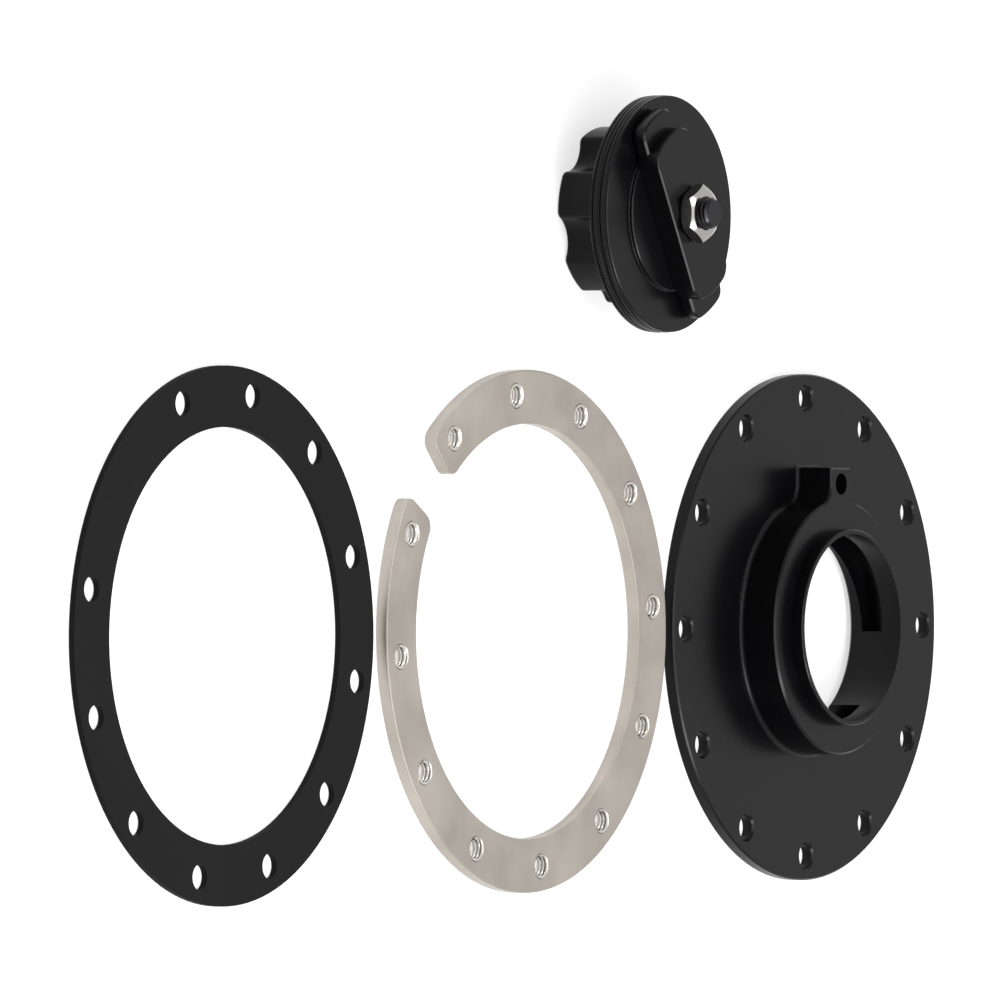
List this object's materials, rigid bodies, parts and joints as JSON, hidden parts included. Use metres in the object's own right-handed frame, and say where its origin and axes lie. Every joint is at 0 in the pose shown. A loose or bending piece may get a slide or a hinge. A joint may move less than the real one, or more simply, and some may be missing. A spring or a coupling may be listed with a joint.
{
  "type": "fuel filler cap",
  "caption": "Bayonet fuel filler cap with its bolt-on ring flange, flat gasket and slit nut ring, laid out side by side.",
  "frame": {"origin": "middle of the mounting flange's outer face, which lies on the floor", "axes": "+Z through the flange into the tank, +Y to the lobe on the flange's neck, -X along the row to the nut ring and the gasket"},
  "size_m": [0.4074, 0.2042, 0.0337],
  "materials": {
    "black_anodised": "satin black anodised aluminium",
    "black_rubber": "matt black sheet rubber",
    "seal_rubber": "smooth black moulded rubber",
    "washer_plastic": "natural acetal",
    "bare_aluminium": "brushed, with a warm grey tone",
    "zinc_plated_steel": "bright zinc plate",
    "dark_steel": "blackened screw thread"
  },
  "bodies": {
    "body": {"mounting_flange": "black_anodised", "flange_gasket": "black_rubber", "nut_ring": "bare_aluminium", "cap_plate": "black_anodised", "rim_seal_front": "seal_rubber", "rim_seal_rear": "seal_rubber", "stem_seal": "seal_rubber"},
    "latch": {"thrust_washer": "washer_plastic", "knob": "black_anodised", "stud": "dark_steel", "latch_bar": "black_anodised", "lock_nut": "zinc_plated_steel"}
  },
  "joints": [
    {"name": "latch_turn", "type": "hinge", "parent": "body", "child": "latch", "pos_m": [-0.096, 0.107, 0], "axis": [0, 0, -1], "range_deg": [0, 90]}
  ]
}
